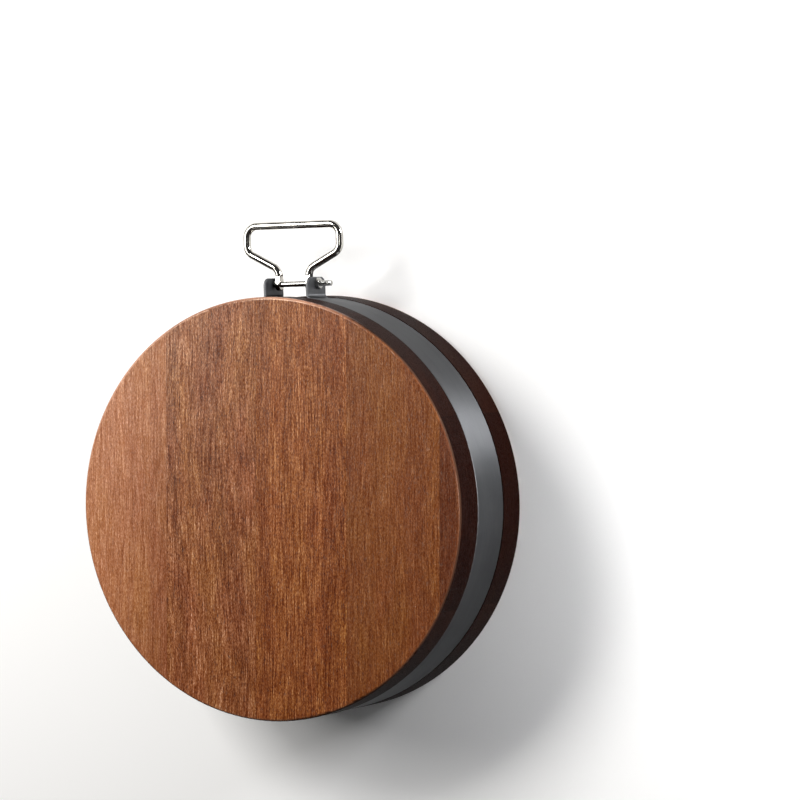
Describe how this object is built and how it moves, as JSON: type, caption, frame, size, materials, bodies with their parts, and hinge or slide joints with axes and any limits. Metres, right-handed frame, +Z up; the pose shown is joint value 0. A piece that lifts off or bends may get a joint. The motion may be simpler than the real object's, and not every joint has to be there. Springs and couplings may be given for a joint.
{
  "type": "round chopping block",
  "caption": "Thick round chopping block of edge-glued boards, held by a stainless hoop in its rim, with a wire carrying handle that swings on the hoop's clamping bolt.",
  "frame": {"origin": "centre of the lower face, on the block's axis", "axes": "+Z up through the chopping face, +Y out at the handle, +X along the bolt towards its nut"},
  "size_m": [0.3, 0.3537, 0.1],
  "materials": {
    "left_board": "oiled",
    "mid_left_board": "oiled",
    "mid_right_board": "oiled",
    "right_board": "oiled",
    "right_edge_strip": "oiled",
    "hoop": "brushed",
    "handle_bolt": "bright",
    "hoop_nut": "bright",
    "handle": "polished"
  },
  "bodies": {
    "block": {"left_board": "left_board", "mid_left_board": "mid_left_board", "mid_right_board": "mid_right_board", "right_board": "right_board", "right_edge_strip": "right_edge_strip", "hoop": "hoop", "handle_bolt": "handle_bolt", "hoop_nut": "hoop_nut"},
    "handle": {"handle": "handle"}
  },
  "joints": [
    {"name": "handle_swing", "type": "hinge", "parent": "block", "child": "handle", "pos_m": [0, 0.1587, 0.05], "axis": [1, 0, 0], "range_deg": [-53, 53]}
  ]
}
